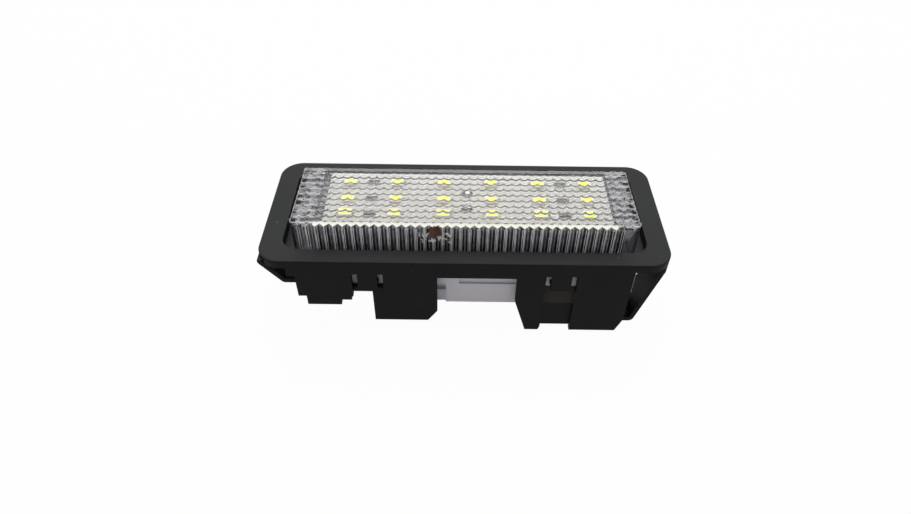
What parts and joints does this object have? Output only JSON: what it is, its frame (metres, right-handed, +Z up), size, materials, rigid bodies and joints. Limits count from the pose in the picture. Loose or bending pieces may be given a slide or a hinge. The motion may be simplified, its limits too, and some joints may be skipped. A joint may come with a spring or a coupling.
{
  "type": "dome light",
  "caption": "Rectangular car interior dome light: satin black bezel with a latching skirt and straps, clear fluted lens, white tray and a board of surface-mount LEDs.",
  "frame": {"origin": "under the middle of the part, level with the feet of the skirt that it rests on", "axes": "+X along the lamp, to the right as seen from the pictured side, +Y away from that side, +Z up through the lens"},
  "size_m": [0.1106, 0.0432, 0.0339],
  "materials": {
    "black_shell": "satin, finely textured",
    "clear_lens": "clear, fluted and prismatic",
    "white_tray": "satin",
    "white_board": "white solder mask",
    "led_case": "satin",
    "led_phosphor": "smooth",
    "chip_body": "fired, tinned at the ends",
    "tinned_pin": "tinned",
    "solder": "bright"
  },
  "bodies": {
    "root": {"bezel_frame": "black_shell", "chip_1": "chip_body", "chip_2": "chip_body", "chip_3": "chip_body", "chip_4": "chip_body", "chip_5": "chip_body", "chip_6": "chip_body", "circuit_board": "white_board", "feed_pin_1": "tinned_pin", "feed_pin_2": "tinned_pin", "lamp_tray": "white_tray", "led_11": "led_case", "led_12": "led_case", "led_13": "led_case", "led_14": "led_case", "led_15": "led_case", "led_16": "led_case", "led_21": "led_case", "led_22": "led_case", "led_23": "led_case", "led_24": "led_case", "led_25": "led_case", "led_26": "led_case", "led_31": "led_case", "led_32": "led_case", "led_33": "led_case", "led_34": "led_case", "led_35": "led_case", "led_36": "led_case", "lens": "clear_lens", "phosphor_11": "led_phosphor", "phosphor_12": "led_phosphor", "phosphor_13": "led_phosphor", "phosphor_14": "led_phosphor", "phosphor_15": "led_phosphor", "phosphor_16": "led_phosphor", "phosphor_21": "led_phosphor", "phosphor_22": "led_phosphor", "phosphor_23": "led_phosphor", "phosphor_24": "led_phosphor", "phosphor_25": "led_phosphor", "phosphor_26": "led_phosphor", "phosphor_31": "led_phosphor", "phosphor_32": "led_phosphor", "phosphor_33": "led_phosphor", "phosphor_34": "led_phosphor", "phosphor_35": "led_phosphor", "phosphor_36": "led_phosphor", "solder_1": "solder", "solder_2": "solder"}
  },
  "joints": []
}
